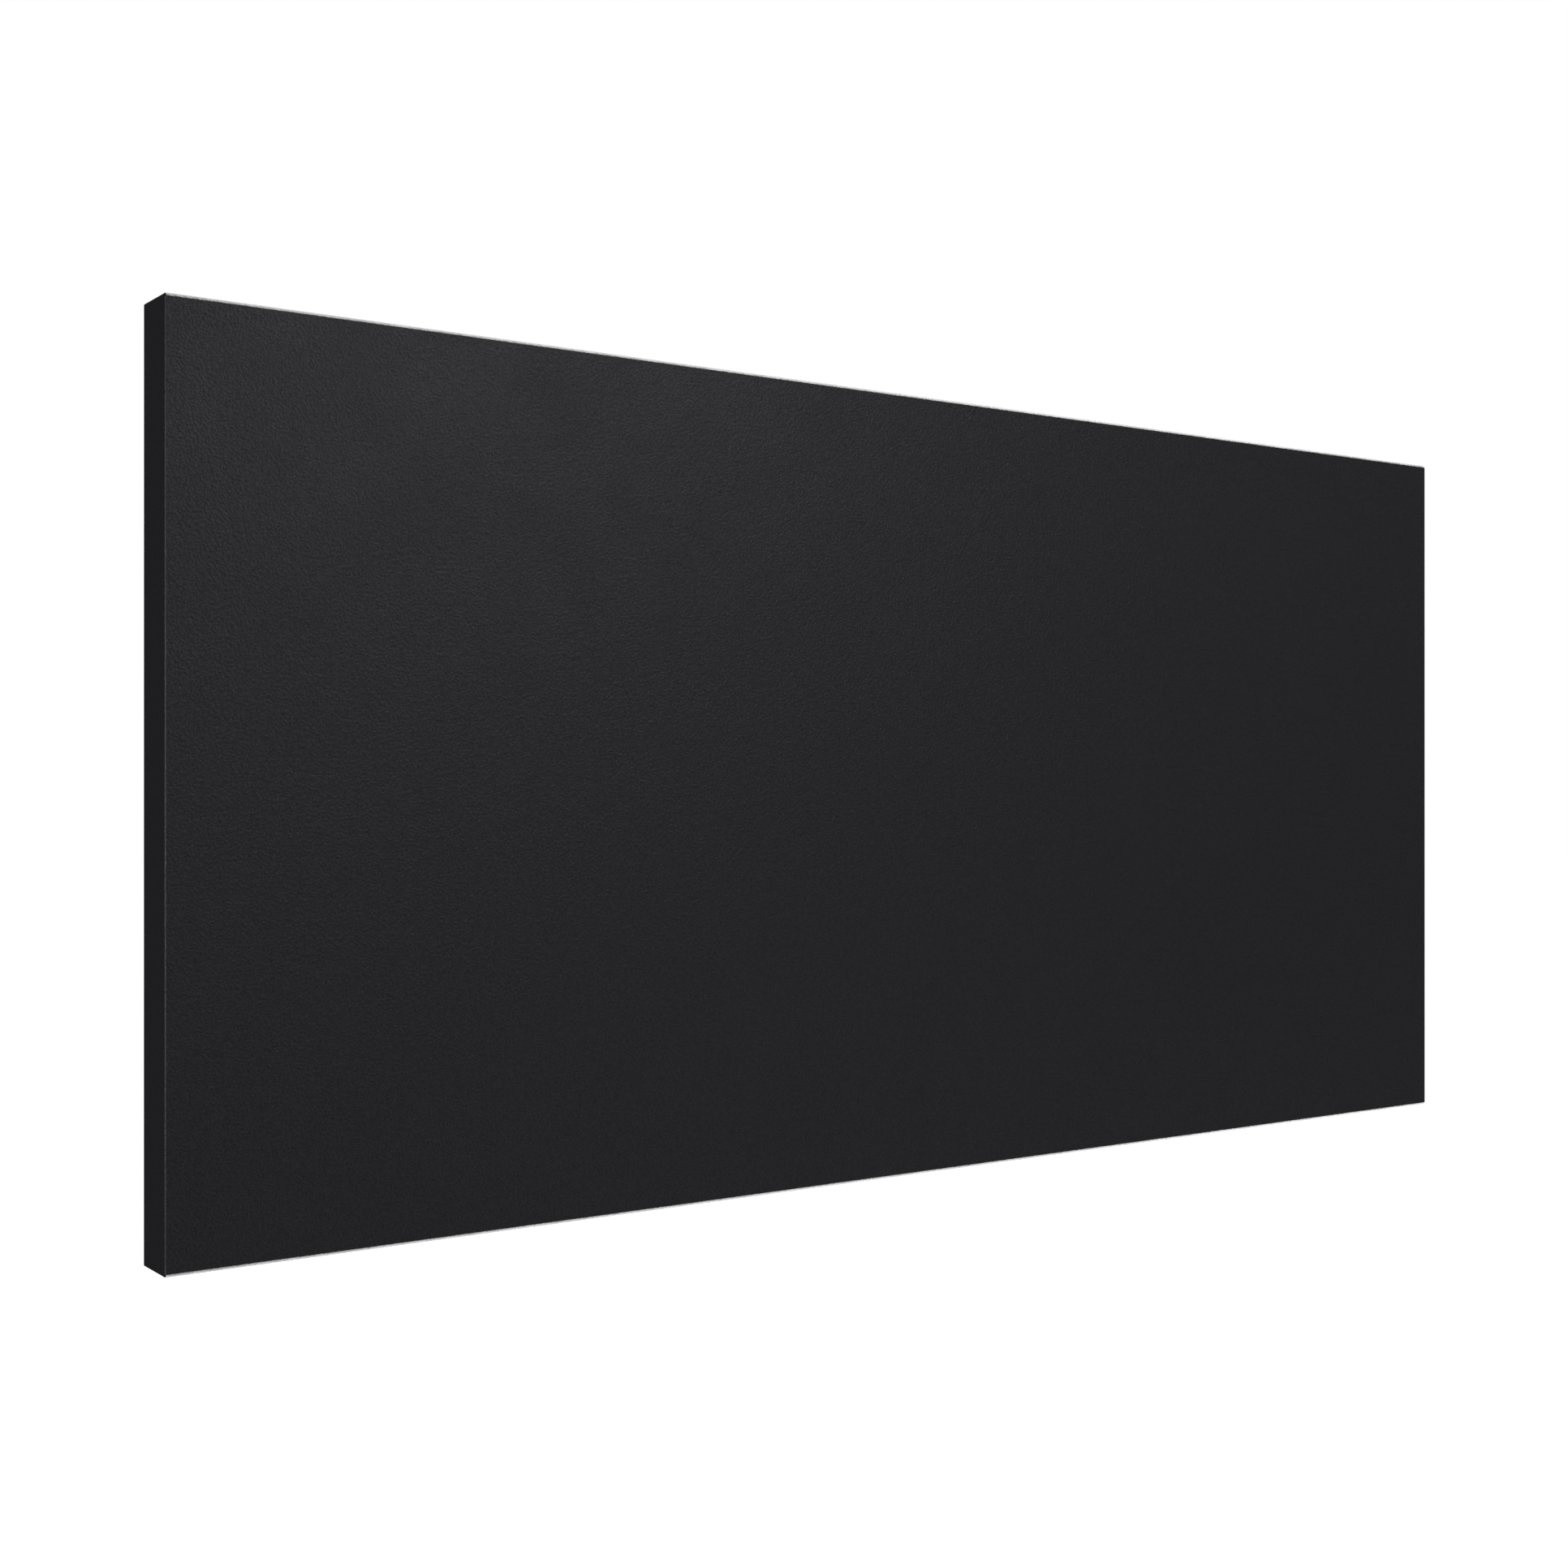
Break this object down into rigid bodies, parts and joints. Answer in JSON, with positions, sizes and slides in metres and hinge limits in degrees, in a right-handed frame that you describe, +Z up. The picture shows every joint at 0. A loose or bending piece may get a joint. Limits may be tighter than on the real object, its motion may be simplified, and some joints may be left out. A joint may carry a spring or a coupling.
{
  "type": "kick plate",
  "caption": "Boxed door kick plate: a folded sheet-metal tray with a flat textured black face, held by hidden fixing rails, stiffened and padded behind.",
  "frame": {"origin": "centre of the rectangle of corner door fixings, on the door's surface", "axes": "+X across the door, to the right as seen from the front; +Z up; +Y into the door, so the plate's front face looks along -Y"},
  "size_m": [0.6, 0.02, 0.3],
  "materials": {
    "tray_coat": "matt black fine-textured powder coat on folded sheet steel",
    "rail_zinc": "bright zinc plate on rolled steel",
    "nut_steel": "plain weld nut with heat tint where it is welded",
    "screw_black": "black zinc-coated steel, satin",
    "stiffener_galvanised": "hot-dip galvanised sheet, soft spangle",
    "tape_foam": "closed-cell acrylic foam tape, matt",
    "pad_rubber": "extruded EPDM rubber, matt",
    "damping_butyl": "black butyl, slightly tacky sheen",
    "damping_foil": "embossed foil"
  },
  "bodies": {
    "root": {"face_tray": "tray_coat", "top_rail": "rail_zinc", "bottom_rail": "rail_zinc", "top_rail_nuts": "nut_steel", "bottom_rail_nuts": "nut_steel", "top_screws": "screw_black", "bottom_screws": "screw_black", "stiffener_left": "stiffener_galvanised", "stiffener_centre": "stiffener_galvanised", "stiffener_right": "stiffener_galvanised", "stiffener_tape_left": "tape_foam", "stiffener_tape_centre": "tape_foam", "stiffener_tape_right": "tape_foam", "door_pad_left": "pad_rubber", "door_pad_centre": "pad_rubber", "door_pad_right": "pad_rubber", "damping_sheet_left": "damping_butyl", "damping_sheet_right": "damping_butyl", "damping_foil_left": "damping_foil", "damping_foil_right": "damping_foil"}
  },
  "joints": []
}
